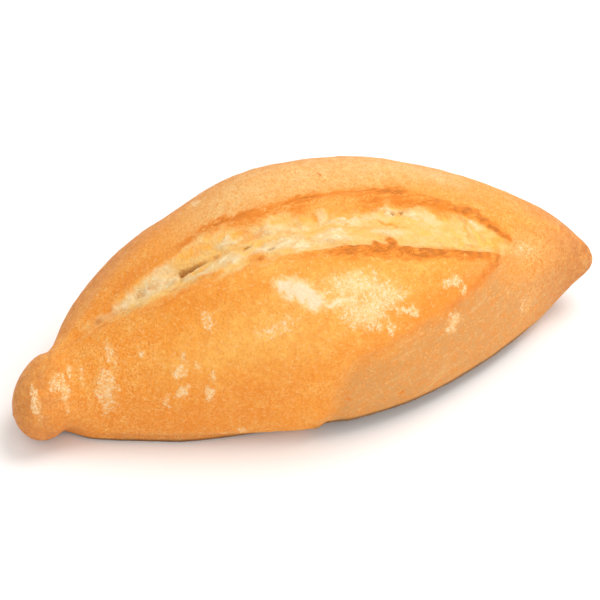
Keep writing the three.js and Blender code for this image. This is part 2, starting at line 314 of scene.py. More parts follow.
class RollShape(bpy.types.PropertyGroup):
    """Sizes of the loaf and of the slash along its top"""

    near_reach: FloatProperty(
        name="Near reach", description="From the spine to the near flank", default=39.3 * MM, unit="LENGTH"
    )
    far_reach: FloatProperty(
        name="Far reach", description="From the spine to the far flank", default=44.2 * MM, unit="LENGTH"
    )
    crest_rise: FloatProperty(
        name="Crest rise", description="From the spine to the crest", default=37.3 * MM, unit="LENGTH"
    )
    belly_drop: FloatProperty(
        name="Belly drop", description="From the spine down to an unflattened belly", unit="LENGTH",
        default=37 * MM,
    )
    spine_bow: FloatProperty(
        name="Spine bow", description="How far the spine bows to the far side", default=4 * MM, unit="LENGTH"
    )
    squareness: FloatProperty(
        name="Squareness", description="Exponent of the cross-section, 2 for an ellipse", default=2.5
    )
    slash_half_angle: FloatProperty(
        name="Slash half-width", description="Half the slash's width, as girth", default=0.3, unit="ROTATION"
    )
    slash_depth: FloatProperty(
        name="Slash depth", description="Depth of the crumb below the lips", default=4.3 * MM, unit="LENGTH"
    )
    near_lobe: FloatProperty(
        name="Near lobe", description="Swelling of the crust by the near lip", default=1.2 * MM, unit="LENGTH"
    )
    far_lobe: FloatProperty(
        name="Far lobe", description="Swelling of the crust by the far lip", default=2.3 * MM, unit="LENGTH"
    )
    shoulder_step: FloatProperty(
        name="Shoulder step", description="Step along the near shoulder", default=1.5 * MM, unit="LENGTH"
    )
    crumb_lump: FloatProperty(
        name="Crumb lumps", description="Height of the torn crumb's lumps", default=0.9 * MM, unit="LENGTH"
    )
    crust_swell: FloatProperty(
        name="Crust swells", description="Height of the crust's slow swells", default=0.5 * MM, unit="LENGTH"
    )
    seed: IntProperty(name="Seed", description="Seed of every crag, pore and flour grain", default=7)


class BakeColours(bpy.types.PropertyGroup):
    """Colours of the crust, the crumb and the flour"""

    gold: FloatVectorProperty(
        name="Gold crust", description="The lightly baked crust", subtype="COLOR", default=(0.88, 0.31, 0.025)
    )
    amber: FloatVectorProperty(
        name="Amber crust", description="The well baked crust", subtype="COLOR", default=(0.76, 0.225, 0.018)
    )
    brown: FloatVectorProperty(
        name="Brown edge", description="Where lips and walls took the most heat", subtype="COLOR",
        default=(0.55, 0.165, 0.014),
    )
    # Also painted shade in the strip under the left rim
    tan: FloatVectorProperty(
        name="Tan flank", description="The paler lower flank", subtype="COLOR", default=(0.62, 0.295, 0.082)
    )
    # Also the colour of painted highlights along the far crest and the rims over the base
    straw_and_highlight: FloatVectorProperty(
        name="Straw crust", description="The palest crust on the crests", subtype="COLOR",
        default=(0.8, 0.52, 0.21),
    )
    yellow: FloatVectorProperty(
        name="Yellow crust", description="Patches that caught less heat", subtype="COLOR",
        default=(0.94, 0.49, 0.1),
    )
    # Painted shade: the dark in the pocket, along its crisp upper edges, and in the pits
    hollow_shade: FloatVectorProperty(
        name="Hollow", description="The bottoms of the pocket and the pits", subtype="COLOR",
        default=(0.42, 0.17, 0.035),
    )
    # Painted shadow: darkens the crust along the base where it meets the floor and under the right rim
    char: FloatVectorProperty(
        name="Scorched base", description="The dark line where the base meets the tray", subtype="COLOR",
        default=(0.14, 0.06, 0.015),
    )
    crumb: FloatVectorProperty(
        name="Crumb", description="The torn white crumb", subtype="COLOR", default=(0.83, 0.61, 0.31)
    )
    cream: FloatVectorProperty(
        name="Cream crumb", description="The brightest fluff of the crumb", subtype="COLOR",
        default=(0.91, 0.74, 0.46),
    )
    butter: FloatVectorProperty(
        name="Butter crumb", description="Crumb that the oven has tinted", subtype="COLOR",
        default=(0.85, 0.5, 0.14),
    )
    flour: FloatVectorProperty(
        name="Flour", description="Thick raw flour on the crust", subtype="COLOR", default=(0.88, 0.67, 0.42)
    )
    dust: FloatVectorProperty(
        name="Flour dust", description="Thin flour that lets the crust through", subtype="COLOR",
        default=(0.9, 0.58, 0.24),
    )
    speck: FloatVectorProperty(
        name="Pale specks", description="Fine pale grains all over the crust", subtype="COLOR",
        default=(0.95, 0.53, 0.16),
    )
    # Also painted shade: the far flank and the knob's lower part are laid darker where the crust turns away
    russet_and_shade: FloatVectorProperty(
        name="Russet crust", description="The browner crust of the far side and of the tips", subtype="COLOR",
        default=(0.52, 0.18, 0.045),
    )


class StudioSetup(bpy.types.PropertyGroup):
    """The camera and the soft studio light"""

    azimuth: FloatProperty(
        name="Azimuth", description="Camera's turn from the near side", unit="ROTATION",
        default=math.radians(-20.3),
    )
    elevation: FloatProperty(
        name="Elevation", description="Camera's height above the floor", unit="ROTATION",
        default=math.radians(40),
    )
    distance: FloatProperty(
        name="Distance", description="Camera to the roll's middle", default=0.62, unit="LENGTH"
    )
    target: FloatVectorProperty(
        name="Target", description="Where the camera looks", subtype="XYZ", unit="LENGTH",
        default=(-3.5 * MM, -6.5 * MM, 27.1 * MM),
    )
    lens: FloatProperty(name="Lens", description="Focal length in millimetres", default=123.2, unit="CAMERA")
    key: FloatProperty(
        name="Key light", description="Power of the large light overhead", default=9.8, unit="POWER"
    )
    fill: FloatProperty(
        name="Fill light", description="Power of the light on the near flank", default=4.9, unit="POWER"
    )
    sky: FloatProperty(name="Room light", description="Strength of the even white room", default=0.88)


def ease(start, end, value):
    """Goes smoothly from 0 at start to 1 at end."""
    share = np.clip((value - start) / (end - start), 0, 1)
    return share * share * (3 - 2 * share)


def between(value, start, full, fading, end):
    """Rises from 0 at start to 1 at full, and falls from 1 at fading to 0 at end."""
    return ease(start, full, value) * (1 - ease(fading, end, value))


def lerp(start, end, share):
    """What lies at that share of the way from start to end."""
    return start + (end - start) * share


def soft_max(a, b, blend):
    """The outer of two surfaces, with a fillet where they meet."""
    share = np.clip(0.5 + 0.5 * (a - b) / blend, 0, 1)
    return b + (a - b) * share + blend * share * (1 - share)


def bell(value, centre, width):
    """1 at the centre, and almost 0 from two widths away."""
    return np.exp(-(((value - centre) / width) ** 2))


def lattice_value(i, j, seed):
    """A random number from 0 to 1 for each corner of a lattice, the same in each run."""
    mixed = np.sin(i * 127.1 + j * 311.7 + seed * 74.7) * 43758.5453
    return mixed - np.floor(mixed)


def noise(a, b, seed):
    """Smooth noise from -1 to 1 with about one swell for each unit of a and of b."""
    i, j = np.floor(a), np.floor(b)
    s, t = ease(0, 1, a - i), ease(0, 1, b - j)
    low = lerp(lattice_value(i, j, seed), lattice_value(i + 1, j, seed), s)
    high = lerp(lattice_value(i, j + 1, seed), lattice_value(i + 1, j + 1, seed), s)
    return 2 * lerp(low, high, t) - 1


def solid_noise(places, size, seed):
    """Smooth noise from -1 to 1 at each place in space, with swells of about that size."""
    cells = places / size
    corner = np.floor(cells)
    share = ease(0, 1, cells - corner)
    total = 0
    for dx in (0, 1):
        for dy in (0, 1):
            for dz in (0, 1):
                i, j, k = corner[:, 0] + dx, corner[:, 1] + dy, corner[:, 2] + dz
                weight = np.abs(1 - dx - share[:, 0]) * np.abs(1 - dy - share[:, 1])
                total = total + weight * np.abs(1 - dz - share[:, 2]) * lattice_value(i + 17.3 * k, j, seed)
    return 2 * total - 1


def swell_at(swell, x):
    """0 at the swell's start and at the point, 1 at the middle of the roll."""
    start, rise, fall = swell

    def rounded(distance):
        return np.hypot(distance, MIDDLE_ROUND) - MIDDLE_ROUND

    rising = 1 - np.minimum(1, rounded(x) / rounded(start)) ** rise[0]
    falling = 1 - np.minimum(1, rounded(x) / rounded(HALF_LENGTH)) ** fall[0]
    return np.where(x < 0, np.maximum(0, rising) ** rise[1], np.maximum(0, falling) ** fall[1])


def end_radius(radius, inward):
    """Radius of a rounded end at a distance inward from its ball's centre."""
    away = inward / np.where(inward < 0, radius, END_TAIL)
    return radius * np.sqrt(np.maximum(0, 1 - away**2))


def spine_at(shape, x):
    """The spine's Y and Z at each station."""
    height = SPINE_KNOB + (SPINE_MIDDLE - SPINE_KNOB) * ease(KNOB_X, 0, x)
    height = height + (SPINE_POINT - SPINE_MIDDLE) * ease(0, HALF_LENGTH, x)
    across = shape.spine_bow * (1 - (x / HALF_LENGTH) ** 2) - KNOB_TURN * (1 - ease(-HALF_LENGTH, KNOB_X, x))
    return across, height


def section_at(shape, x):
    """How far the cross-section reaches near, far, up and down, and the radius of its blunt end."""
    near = shape.near_reach * swell_at(NEAR_SWELL, x) + 1e-9
    far = shape.far_reach * swell_at(FAR_SWELL, x) + 1e-9
    crest = shape.crest_rise * swell_at(CREST_SWELL, x) + 1e-9
    belly = np.minimum(shape.belly_drop, 1.22 * np.sqrt(near * far))
    knob = end_radius(KNOB_RADIUS, x - KNOB_X)
    point = end_radius(POINT_RADIUS, HALF_LENGTH - POINT_RADIUS - x)
    return near, far, crest, belly, np.maximum(knob, point)


def loaf_radius(shape, x, g):
    """Distance from the spine to the closed loaf, before it is slashed."""
    near, far, crest, belly, blunt = section_at(shape, x)
    across = np.abs(np.sin(g)) / np.where(g < 0, near, far)
    upright = np.abs(np.cos(g)) / np.where(np.cos(g) > 0, crest, belly)
    body = (across**shape.squareness + upright**shape.squareness) ** (-1 / shape.squareness)
    return soft_max(body, blunt, END_BLEND * np.minimum(1, blunt / (6 * MM)) + 1e-6)


def slash_at(shape, x):
    """The slash's middle and half-width as girth angles, and how open it is from 0 to 1."""
    end = np.where(x < SLASH_WIDEST, SLASH_START, SLASH_END)
    roundness = np.where(x < SLASH_WIDEST, *SLASH_ROUNDNESS)
    opened = (1 - np.minimum(1, (x - SLASH_WIDEST) / (end - SLASH_WIDEST)) ** roundness) ** 0.6
    wider = SLASH_WIDENING * ease(-5 * MM, 40 * MM, x)
    bend = np.where(x < 0, *SLASH_BEND) * x**3
    return SLASH_MIDDLE - SLASH_TURN * x - bend - wider, (shape.slash_half_angle + wider) * opened, opened


class Skin:
    """Places on the skin, at stations x and girth angles g, in the measures that relief and finish need.

    mm is the station and girth the way round from straight up, both in mm. body is the closed loaf's radius,
    middle and half are the slash's, v runs across it, and near is true on the near side of the crest.
    """

    def __init__(self, shape, x, g):
        self.shape, self.x, self.g = shape, x, g
        self.mm = x / MM
        self.body = loaf_radius(shape, x, g)
        self.girth = g * self.body / MM
        self.middle, self.half, self.opened = slash_at(shape, x)
        self.v = np.clip((g - self.middle) / np.maximum(self.half, 1e-6), -60, 60)
        self.near = g < -0.3

    def noise(self, length, width, step):
        """Smooth noise from -1 to 1, with swells of about that length and width in mm."""
        return noise(self.mm / length, self.girth / width, self.shape.seed + step)

    def past(self, angle):
        """How many mm each place lies past that girth angle, towards the far side."""
        return self.girth - angle * self.body / MM

    def past_line(self, angles):
        """How many mm each place lies past a given line, which is rounded between its stations."""
        return self.past(sum(np.interp(self.mm + step, STATIONS, angles) for step in (-3, -1, 1, 3)) / 4)

    def marked(self, marks, ragged):
        """How strongly those marks cover each place, from 0 to 1, with edges as ragged as that many mm."""
        sideways = ragged * (self.noise(1.9, 1.9, 21) + 0.6 * self.noise(1, 1, 22))
        upwards = ragged * (self.noise(1.7, 1.7, 23) + 0.6 * self.noise(1, 1, 24))
        cover = 0
        for station, angle, length, width, slant, strength in marks:
            along = self.mm - station + sideways
            across = self.past(angle) - slant * along + upwards
            away = (along / length) ** 2 + (across / width) ** 2
            cover = np.maximum(cover, strength * np.exp(-(away**1.3)))
        return cover


def slash_profile(x, v):
    """Depth of the slash below its lips, as a share of the full depth."""
    right = ease(-14 * MM, 8 * MM, x)
    near_wall = ease(lerp(-1.12, -1.06, right), lerp(-0.3, -0.88, right), v)
    floor = lerp(0.62, 1, ease(-0.4, 0.35, v))
    return near_wall * floor * (1 - ease(0.38, 1.04, v))


def inside_slash(v):
    """1 on the crumb between the slash's walls, 0 outside."""
    return between(v, -0.98, -0.75, 0.5, 0.95)


def pocket_dent(at):
    """1 at the middle of the round dent that the solid has where the crumb has torn open, 0 outside."""
    along = (at.x - POCKET_X) / POCKET_LENGTH
    across = (at.v - POCKET_V) / POCKET_WIDTH
    return np.exp(-((along**2 + across**2) ** 2))


def pocket_hole(at):
    """1 inside the pocket, falling off softly to its lower right, and 1 along its two crisp upper edges."""
    right, up = (at.x - POCKET_X) / MM, at.past(at.middle + POCKET_V * at.half)

    def inside(start, end):
        along, across = end[0] - start[0], end[1] - start[1]
        return ((up - start[1]) * along - (right - start[0]) * across) / math.hypot(along, across)

    crisp = np.minimum(inside(POCKET_HIGH, POCKET_LOW), inside(POCKET_RIGHT, POCKET_HIGH))
    slope = inside(POCKET_LOW, POCKET_RIGHT)
    hole = ease(-0.2, 0.6, crisp) * ease(-0.4, 4, slope)
    return hole, bell(crisp, 0.25, 0.4) * ease(-0.4, 0.8, slope)


def slash_relief(at):
    """Height of the crust beside and inside the slash above the closed loaf."""
    shape, mm, v, seed = at.shape, at.mm, at.v, at.shape.seed
    far_lobe = shape.far_lobe * lerp(1, 0.3, ease(28, 52, mm))
    lobes = shape.near_lobe * bell(v, -1.5, 0.5) + far_lobe * bell(v, 2.4, 1.15)
    beads = 1 + 0.6 * noise(mm / 2.6, 40, seed)
    crisp_lip = 0.6 * MM * bell(v, -1.1, 0.1) * ease(-6, 6, mm) * beads
    strips = noise(mm / 9 + 0.8 * v, 3.2 * v + 0.02 * mm + 20, seed) + 0.5 * noise(mm / 4, 5 * v + 60, seed)
    lumps = shape.crumb_lump * strips * inside_slash(v) * lerp(1, 0.4, ease(-16, 6, mm))
    pocket = POCKET_DEPTH * pocket_dent(at)
    ends = ease(-84, -50, mm) * (1 - 0.6 * ease(36, 58, mm))
    cut = shape.slash_depth * ends * at.opened**0.8 * slash_profile(at.x, v)
    return (lobes + crisp_lip + lumps - pocket) * at.opened - cut


def shoulder_at(x):
    """The shoulder's girth angle at each station."""
    mm = x / MM
    rise = 0.22 * np.maximum(0, mm / 54) ** 7
    drop = 0.56 * np.maximum(0, (3 - mm) / 12) ** 2.4
    return -1.35 + 0.0075 * mm + rise - drop


def beyond_shoulder(at):
    """Distance past the shoulder in mm, positive towards the paler lower right flank."""
    step = 0.5 * MM
    reach = at.shape.near_reach
    slope = reach * (shoulder_at(at.x + step) - shoulder_at(at.x - step)) / (2 * step)
    return reach * (shoulder_at(at.x) - at.g) / np.sqrt(1 + slope**2) / MM


def shoulder_relief(at):
    """Height of the crust along the shoulder: proud on its upper left, set back on its lower right."""
    beyond = beyond_shoulder(at)
    fade = np.where(beyond < 0, bell(beyond, 0, 11), bell(beyond, 0, 14))
    step = at.shape.shoulder_step * (0.35 - ease(-1.5, 2.5, beyond)) * fade
    return np.where(at.g > 0, 0, step * (1 - ease(50, 62, at.mm)))


def tuck_at(x, height):
    """How far the near flank stands in under its rim: a crisp step on the left, a soft one on the right."""
    right = ease(-50 * MM, -12 * MM, x)
    lowest = TUCK_RIM - lerp(1.2 * MM, 5 * MM, right)
    highest = TUCK_RIM + lerp(0.2 * MM, 1.5 * MM, right)
    ends = between(x, -80 * MM, -68 * MM, 62 * MM, 90 * MM)
    return lerp(TUCK_LEFT, TUCK_RIGHT, right) * ends * (1 - ease(lowest, highest, height))


def crumb_relief(at):
    """Height of the tears, the stretched strands, the pits and the air pocket in the crumb, in mm."""
    mm, girth = at.mm, at.girth
    tears = 0.4 * at.noise(3.2, 1.7, 2) + 0.28 * at.noise(1.3, 0.9, 3)
    torn = tears * lerp(1.2, 0.5, ease(-6, 14, mm)) + 0.7 * at.marked(WHITE_MARKS, 1)
    torn = torn - 0.5 * at.marked(TOAST_MARKS, 1.2) - 1.2 * at.marked(PIT_MARKS, 0.2)
    hole, _ = pocket_hole(at)
    filled = 0.9 * POCKET_DEPTH / MM * pocket_dent(at) * (1 - hole)
    stretched = 0.25 * noise((mm + 0.3 * girth) / 1.3, girth / 7, at.shape.seed + 5) * ease(24, 40, mm)
    return torn - 1.7 * hole + filled + stretched


def fine_relief(at, places):
    """What is finer than the solid shows: blisters, crags, torn crumb, flour, and the gap under the base."""
    seed, mm, v, opened = at.shape.seed, at.mm, at.v, at.opened
    crumb = inside_slash(v) * opened
    blisters = 0.12 * solid_noise(places, 3.1 * MM, seed) + 0.06 * solid_noise(places, 1.3 * MM, seed + 1)
    lip = bell(v, -1.05, 0.14) * ease(-6, 6, mm) * opened
    crags = (0.55 * at.noise(1.5, 1, 6) + 0.35 * at.noise(3.5, 3, 7)) * lip + 0.7 * at.marked(CRAG_MARKS, 0.5)
    seam = -0.35 * bell(at.past_line(FAR_SEAM), 0, 0.9) * opened
    streaks = 0.2 * at.noise(5, 0.8, 8) * bell(v, 0.9, 0.35) * opened
    floured = 0.15 * at.marked(FLOUR_MARKS, 0.8) + 0.1 * at.marked(GRAIN_MARKS, 0.8)
    gap = BASE_GAP * (1 - ease(1.4, 3.4, places[:, 2] / MM)) * between(mm, -14, -8, 20, 48) * at.near
    inner = lerp(blisters, crumb_relief(at), crumb)
    return MM * (inner + crags + seam + streaks + floured) - gap


def skin_at(at):
    """The roll's skin in space, before it is centred."""
    shape, x, g = at.shape, at.x, at.g
    spine_y, spine_z = spine_at(shape, x)
    full = np.minimum(1, at.body / (20 * MM))
    along, upright = x / (21 * MM) + 3, np.cos(g) * at.body / (19 * MM)
    swells = noise(along, upright + 9, shape.seed), noise(along, upright + 5, shape.seed)
    uneven = shape.crust_swell * full * lerp(*swells, ease(-0.3, 0.3, g))
    for station, angle, length, width, out in BULGES:
        uneven = uneven + out * MM * bell(at.mm, station, length) * bell(g, angle, width)
    slashed = np.where(at.opened > 0, slash_relief(at), 0)
    radius = at.body + uneven + slashed + shoulder_relief(at) * full
    height = spine_z + radius * np.cos(g)
    radius = radius - np.where(g < 0, tuck_at(x, height), 0)
    rough = np.stack([x, radius * np.sin(g), spine_z + radius * np.cos(g)], axis=-1)
    radius = radius + fine_relief(at, rough) * full
    curl = LIP_CURL * ease(-8, 6, at.mm) * (bell(at.v, -1.04, 0.08) - 0.8 * bell(at.v, -0.88, 0.08))
    turned = g + curl * at.half
    level = soft_max(spine_z + radius * np.cos(turned), 0, BASE_ROUND)
    return np.stack([x, spine_y + radius * np.sin(turned), level], axis=-1)


def base_edge(shape, x, reach):
    """Girth angle where the flat base begins, on the side that reaches that far from the spine."""
    _, _, _, belly, blunt = section_at(shape, x)
    down = spine_at(shape, x)[1] + BASE_ROUND
    share = np.maximum(0, 1 - (down / np.maximum(belly, blunt)) ** shape.squareness)
    outward = np.maximum(reach, blunt) * share ** (1 / shape.squareness)
    return np.minimum(2.75, np.arctan2(outward, -down))


def column_angle(shape, x, column):
    """Girth angle of each column at its station, crowded over the slash."""
    near, far, _, _, _ = section_at(shape, x)
    middle, half, _ = slash_at(shape, x)
    reach = SLASH_MARGIN * soft_max(half, 0.16, 0.06)
    bands = (
        (BASE_COLUMNS, -base_edge(shape, x, near)),
        (NEAR_COLUMNS, middle - reach),
        (SLASH_COLUMNS, middle + reach),
        (FAR_COLUMNS, base_edge(shape, x, far)),
        (BASE_COLUMNS, math.pi),
    )
    angle, start, first = -math.pi, -math.pi, 0
    for count, end in bands:
        share = (column - first) / count
        angle = np.where(share > 0, lerp(start, end, np.minimum(share, 1)), angle)
        first, start = first + count, end
    return angle


def crumb_cover(at):
    """1 on the torn crumb and 0 on the crust, with torn edges."""
    torn = 0.7 * at.noise(3.4, 2, 11) + 0.5 * at.noise(1.3, 1.1, 12)
    past_near = at.past_line(CRUMB_NEAR) + torn * lerp(2.6, 1, ease(-10, 8, at.mm))
    fingers = 1.5 * at.noise(5, 9, 13) * (1 - ease(20, 40, at.mm))
    before_far = 1.3 * torn + fingers - at.past_line(CRUMB_FAR)
    softness = lerp(2.2, 0.7, ease(-25, 0, at.mm))
    return ease(-softness, softness, past_near) * ease(-1.2, 1.6, before_far) * ease(0, 0.5, at.opened)


def browned_edges(at):
    """The brown of the far wall and its seam, of the near lip, and of the crease along the shoulder."""
    mm = at.mm
    seam = at.past_line(FAR_SEAM)
    wall = ease(-1, 1, at.past_line(CRUMB_FAR)) * (1 - ease(-0.4, 1.2, seam))
    far_band = 0.42 * wall * (1 - 0.8 * bell(mm, 8, 9)) + 0.3 * bell(seam, 0, 1.5)
    patchy = 0.6 + 0.4 * at.noise(5, 3, 14)
    far_band = far_band * patchy * ease(-46, -26, mm) + 0.1 * bell(seam, -1, 4)
    lip = at.past(at.middle - at.half)
    reach = lerp(-5.2, -2.6, ease(24, 34, mm))
    below_lip = between(lip, reach - 1, reach / 3, -0.4, 0.8)
    near_band = 0.75 * below_lip * ease(-2, 4, mm) + 0.45 * bell(lip, -1, 1.6) * ease(-26, -8, mm)
    beaded = 0.6 + 0.4 * at.noise(1.6, 1.2, 15)
    near_band = near_band * beaded * (1 - 0.8 * ease(46, 54, mm))
    crease = 0.35 * bell(beyond_shoulder(at), -1, 2) * at.near * between(mm, 20, 44, 52, 60)
    return (far_band + near_band) * ease(0, 0.25, at.opened) + crease


def tan_flank(at):
    """1 on the paler crust past the shoulder, with a frayed edge."""
    frayed = 1.6 * at.noise(5, 5, 16) + 0.8 * at.noise(1.8, 1.8, 17)
    soft = lerp(9, 4, ease(6, 30, at.mm))
    flank = ease(-soft / 2, soft, beyond_shoulder(at) + frayed) * at.near
    return flank * (1 - 0.6 * ease(50, 60, at.mm) * ease(-1.3, -0.85, at.g))


def pale_crust_and_highlights(at, height):
    """The palest crust, with painted highlights: a painted highlight along the far crest, the upper far side
    and the rims just over the base; paler crust at the lobe's right end and low on the left base.
    """
    mm, g = at.mm, at.g
    crest = bell(g, 0.36, 0.22) * between(mm, -46, -16, 44, 66)
    far_side = 0.38 * ease(0.4, 0.6, g) * ease(-50, -10, mm)
    lobe_end = bell(mm, 63, 6) * bell(g, -0.64, 0.12) + 0.3 * bell(mm, 47, 9) * bell(g, -0.82, 0.12)
    right_rim = 0.6 * bell(height, 8, 0.9) * ease(-14, -6, mm)
    left_rim = 0.8 * bell(height, 4.4, 0.8) * between(mm, -70, -60, -20, -10)
    left_base = 0.28 * (1 - ease(4, 9, height)) * between(mm, -74, -66, -22, -10)
    return np.clip(crest + far_side + lobe_end + (right_rim + left_rim + left_base) * at.near, 0, 1)


def yellow_crust(at):
    """The yellower crust: over the near flank, and beside the slash at its middle and its right end."""
    mm, g = at.mm, at.g
    upper_flank = 0.6 * bell(g, -0.76, 0.16) * between(mm, -60, -20, 10, 46)
    left_lip = 0.8 * bell(g, -0.47, 0.08) * bell(mm, -15, 9)
    far_wall = 0.8 * bell(g, 0.03, 0.07) * bell(mm, 8, 9)
    right_end = 0.7 * bell(g, -0.6, 0.14) * bell(mm, 68, 8)
    flank = 0.9 * bell(g, -0.96, 0.24) * bell(mm, -24, 24)
    return np.maximum(upper_flank + left_lip + far_wall + right_end, flank)


def amber_crust(at, height):
    """The deeper baked crust: above the shoulder, low on the left, and on the left of the far side."""
    mm = at.mm
    shoulder = 0.55 * bell(beyond_shoulder(at), -4, 5) * between(mm, 6, 22, 44, 52)
    low_left = 0.5 * (1 - ease(-50, 0, mm)) * (1 - ease(12, 30, height))
    far_left = 0.9 * bell(at.g, 0.36, 0.07) * bell(mm, -52, 9)
    return np.clip((shoulder + low_left) * at.near + far_left, 0, 1)


def bake_masks(at, places):
    """Where each finish shows, as one value from 0 to 1 for each vertex and finish."""
    mm, height = at.mm, places[:, 2] / MM
    crags = at.marked(CRAG_MARKS, 0.5)
    crumb = crumb_cover(at) * (1 - ease(0.25, 0.6, crags))
    scorched = np.maximum(at.marked(SCORCH_MARKS, 0.7), crags)
    hole, hole_edge_shade = pocket_hole(at)
    # Tan crust also shows at both tips; the tan strip under the left rim is painted shade
    flank = tan_flank(at)
    skirt_shade = (1 - ease(4.2, 5.4, height)) * at.near * between(mm, -74, -66, -22, -10)
    tan_tips = 0.4 * (1 - ease(-93, -76, mm)) + 0.25 * ease(66, 90, mm)
    # Browner crust on the point and partly on the knob; the far flank and the knob's lower part are darker as
    # painted shade where the crust turns away
    knob = (0.4 + 0.2 * (1 - ease(4, 16, height))) * (1 - ease(-90, -70, mm))
    far_side = 0.42 * ease(0.4, 1.05, at.g)
    point = 0.5 * ease(64, 90, mm) + 0.15 * ease(82, 95, mm)
    # Painted shadow: the dark line under the right rim
    rim_shadow = (1 - ease(5.7, 6.9, height)) * at.near * between(mm, -14, -6, 60, 76)
    # Specks are densest towards the two ends and low on the near flank
    outer = np.maximum(1 - ease(-66, -40, mm), ease(46, 70, mm))
    low = 1 - ease(-1.6, -1, at.g)
    speckled = np.where(at.near, 0.25 + 0.75 * np.maximum(0.6 * low, outer), 0.5 + 0.4 * outer)
    return {
        "crumb": crumb,
        "white": at.marked(WHITE_MARKS, 1),
        "toast": at.marked(TOAST_MARKS, 1.2),
        "combed": between(mm, 22, 40, 50, 56),
        # Painted shade in the pits, in the pocket and along its crisp upper edges
        "pit_shade": np.maximum(at.marked(PIT_MARKS, 0.2), np.maximum(0.2 * hole, 0.6 * hole_edge_shade)),
        "brown": np.clip(np.maximum(browned_edges(at) * (1 - 0.8 * crumb), scorched), 0, 1),
        # Tan: the paler flank and the tips, with painted shade in the strip under the left rim
        "flank": np.clip(np.maximum(flank, skirt_shade) + tan_tips, 0, 1),
        # Painted highlight on the far crest and the rims, and paler crust at the lobe's end
        "straw_and_highlight": pale_crust_and_highlights(at, height),
        "yellow": yellow_crust(at),
        "deep": amber_crust(at, height),
        "speckled": speckled * (1 - 0.6 * flank * (1 - outer)),
        "tips": np.maximum(knob, far_side) + point,
        # Painted shadow along the base where it meets the floor, and under the right rim
        "under": np.maximum(1 - ease(0.6, 2.2, height), rim_shadow),
        "flour": at.marked(FLOUR_MARKS, 0.8),
        "grains": at.marked(GRAIN_MARKS, 0.8),
    }


def place_piece(name, bm):
    """Makes an object of that mesh, riding on the roll's body."""
    mesh = bpy.data.meshes.new(name)
    bm.to_mesh(mesh)
    bm.free()
    piece = bpy.data.objects.new(name, mesh)
    bpy.context.scene.collection.objects.link(piece)
    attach(piece, "root")
    return piece


def fit_box(places):
    """Brings the skin's middle over the origin, and keeps its crags inside the solid's box."""
    places[:, 1] -= (places[:, 1].min() + places[:, 1].max()) / 2
    places[:, 1] *= min(1, CAD_BOX[1][1] / places[:, 1].max())
    places[:, 2] *= min(1, CAD_BOX[1][2] / places[:, 2].max())


